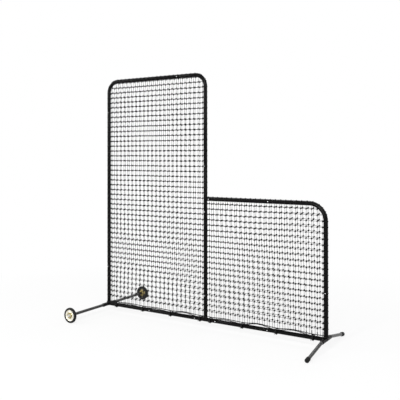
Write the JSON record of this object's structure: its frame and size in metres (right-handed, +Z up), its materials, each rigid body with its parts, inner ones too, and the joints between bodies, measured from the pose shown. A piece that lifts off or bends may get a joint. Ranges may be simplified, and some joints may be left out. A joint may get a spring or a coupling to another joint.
{
  "type": "baseball l screen",
  "caption": "L-shaped tubular steel pitching screen with a tall and a short netted bay, two wheels on one leg and a plain leg on the other.",
  "frame": {"origin": "on the ground, under the centre of the bounding box", "axes": "+Z up, +X along the screen from the tall bay to the short bay, -Y towards the hitter"},
  "size_m": [2.19, 1.0562, 2.1339],
  "materials": {
    "frame_coat": "black powder coat, semi-gloss",
    "leg_coat": "black powder coat, satin",
    "cap_rubber": "matte",
    "bright_zinc": "bright zinc plate",
    "tyre": "solid black rubber",
    "hub": "cream-yellow enamel on pressed steel",
    "yellow_zinc": "yellow zinc plate",
    "nylon": "moulded nylon",
    "net_twine": "knotted black twine",
    "border_cord": "black braided cord"
  },
  "bodies": {
    "frame": {"base_corner_left": "frame_coat", "base_corner_right": "frame_coat", "base_tee": "frame_coat", "bottom_rail_left": "frame_coat", "bottom_rail_right": "frame_coat", "left_post": "frame_coat", "top_bend_left": "frame_coat", "top_bend_right": "frame_coat", "mid_post_tee": "frame_coat", "mid_post_lower": "frame_coat", "short_rail": "frame_coat", "short_rail_bend": "frame_coat", "left_leg_front": "leg_coat", "left_leg_back": "leg_coat", "right_leg_front": "leg_coat", "right_leg_back": "leg_coat", "foot_cap_front": "cap_rubber", "foot_cap_back": "cap_rubber", "net_tall_bay": "net_twine", "net_short_bay": "net_twine", "net_border_rope": "border_cord", "wheel_front_leg_plug": "nylon", "wheel_front_axle_bolt": "bright_zinc", "wheel_front_washer_inner": "bright_zinc", "wheel_front_washer_outer": "bright_zinc", "wheel_back_leg_plug": "nylon", "wheel_back_axle_bolt": "bright_zinc", "wheel_back_washer_inner": "bright_zinc", "wheel_back_washer_outer": "bright_zinc"},
    "wheel_front": {"wheel_front_tyre": "tyre", "wheel_front_hub": "hub", "wheel_front_cover_outer": "yellow_zinc", "wheel_front_cover_inner": "yellow_zinc", "wheel_front_bush": "nylon"},
    "wheel_back": {"wheel_back_tyre": "tyre", "wheel_back_hub": "hub", "wheel_back_cover_outer": "yellow_zinc", "wheel_back_cover_inner": "yellow_zinc", "wheel_back_bush": "nylon"},
    "button_left_post_low": {"button_left_post_low": "bright_zinc"},
    "button_left_post_high": {"button_left_post_high": "bright_zinc"},
    "button_top_rail": {"button_top_rail": "bright_zinc"},
    "button_mid_post_high": {"button_mid_post_high": "bright_zinc"},
    "button_mid_post_low": {"button_mid_post_low": "bright_zinc"},
    "button_mid_post_base": {"button_mid_post_base": "bright_zinc"},
    "button_short_rail_inner": {"button_short_rail_inner": "bright_zinc"},
    "button_short_rail_outer": {"button_short_rail_outer": "bright_zinc"},
    "button_right_post": {"button_right_post": "bright_zinc"},
    "button_bottom_rail_1": {"button_bottom_rail_1": "bright_zinc"},
    "button_bottom_rail_2": {"button_bottom_rail_2": "bright_zinc"},
    "button_bottom_rail_3": {"button_bottom_rail_3": "bright_zinc"},
    "button_bottom_rail_4": {"button_bottom_rail_4": "bright_zinc"},
    "button_left_leg_front": {"button_left_leg_front": "bright_zinc"},
    "button_left_leg_back": {"button_left_leg_back": "bright_zinc"},
    "button_right_leg_front": {"button_right_leg_front": "bright_zinc"},
    "button_right_leg_back": {"button_right_leg_back": "bright_zinc"}
  },
  "joints": [
    {"name": "wheel_front_spin", "type": "hinge", "parent": "frame", "child": "wheel_front", "pos_m": [-1.03015, -0.504, 0.065], "axis": [0, 1, 0], "continuous": true},
    {"name": "wheel_back_spin", "type": "hinge", "parent": "frame", "child": "wheel_back", "pos_m": [-1.03015, 0.504, 0.065], "axis": [0, 1, 0], "continuous": true},
    {"name": "press_left_post_low", "type": "slide", "parent": "frame", "child": "button_left_post_low", "axis": [0, 1, 0], "range_m": [0, 0.0055], "stiffness_N_per_m": 900, "springref_m": -0.004},
    {"name": "press_left_post_high", "type": "slide", "parent": "frame", "child": "button_left_post_high", "axis": [0, 1, 0], "range_m": [0, 0.0055], "stiffness_N_per_m": 900, "springref_m": -0.004},
    {"name": "press_top_rail", "type": "slide", "parent": "frame", "child": "button_top_rail", "axis": [0, 1, 0], "range_m": [0, 0.0055], "stiffness_N_per_m": 900, "springref_m": -0.004},
    {"name": "press_mid_post_high", "type": "slide", "parent": "frame", "child": "button_mid_post_high", "axis": [0, 1, 0], "range_m": [0, 0.0055], "stiffness_N_per_m": 900, "springref_m": -0.004},
    {"name": "press_mid_post_low", "type": "slide", "parent": "frame", "child": "button_mid_post_low", "axis": [0, 1, 0], "range_m": [0, 0.0055], "stiffness_N_per_m": 900, "springref_m": -0.004},
    {"name": "press_mid_post_base", "type": "slide", "parent": "frame", "child": "button_mid_post_base", "axis": [0, 1, 0], "range_m": [0, 0.0055], "stiffness_N_per_m": 900, "springref_m": -0.004},
    {"name": "press_short_rail_inner", "type": "slide", "parent": "frame", "child": "button_short_rail_inner", "axis": [0, 1, 0], "range_m": [0, 0.0055], "stiffness_N_per_m": 900, "springref_m": -0.004},
    {"name": "press_short_rail_outer", "type": "slide", "parent": "frame", "child": "button_short_rail_outer", "axis": [0, 1, 0], "range_m": [0, 0.0055], "stiffness_N_per_m": 900, "springref_m": -0.004},
    {"name": "press_right_post", "type": "slide", "parent": "frame", "child": "button_right_post", "axis": [0, 1, 0], "range_m": [0, 0.0055], "stiffness_N_per_m": 900, "springref_m": -0.004},
    {"name": "press_bottom_rail_1", "type": "slide", "parent": "frame", "child": "button_bottom_rail_1", "axis": [0, 1, 0], "range_m": [0, 0.0055], "stiffness_N_per_m": 900, "springref_m": -0.004},
    {"name": "press_bottom_rail_2", "type": "slide", "parent": "frame", "child": "button_bottom_rail_2", "axis": [0, 1, 0], "range_m": [0, 0.0055], "stiffness_N_per_m": 900, "springref_m": -0.004},
    {"name": "press_bottom_rail_3", "type": "slide", "parent": "frame", "child": "button_bottom_rail_3", "axis": [0, 1, 0], "range_m": [0, 0.0055], "stiffness_N_per_m": 900, "springref_m": -0.004},
    {"name": "press_bottom_rail_4", "type": "slide", "parent": "frame", "child": "button_bottom_rail_4", "axis": [0, 1, 0], "range_m": [0, 0.0055], "stiffness_N_per_m": 900, "springref_m": -0.004},
    {"name": "press_left_leg_front", "type": "slide", "parent": "frame", "child": "button_left_leg_front", "axis": [0, 0, 1], "range_m": [0, 0.0055], "stiffness_N_per_m": 900, "springref_m": -0.004},
    {"name": "press_left_leg_back", "type": "slide", "parent": "frame", "child": "button_left_leg_back", "axis": [0, 0, 1], "range_m": [0, 0.0055], "stiffness_N_per_m": 900, "springref_m": -0.004},
    {"name": "press_right_leg_front", "type": "slide", "parent": "frame", "child": "button_right_leg_front", "axis": [0, 0, 1], "range_m": [0, 0.0055], "stiffness_N_per_m": 900, "springref_m": -0.004},
    {"name": "press_right_leg_back", "type": "slide", "parent": "frame", "child": "button_right_leg_back", "axis": [0, 0, 1], "range_m": [0, 0.0055], "stiffness_N_per_m": 900, "springref_m": -0.004}
  ]
}
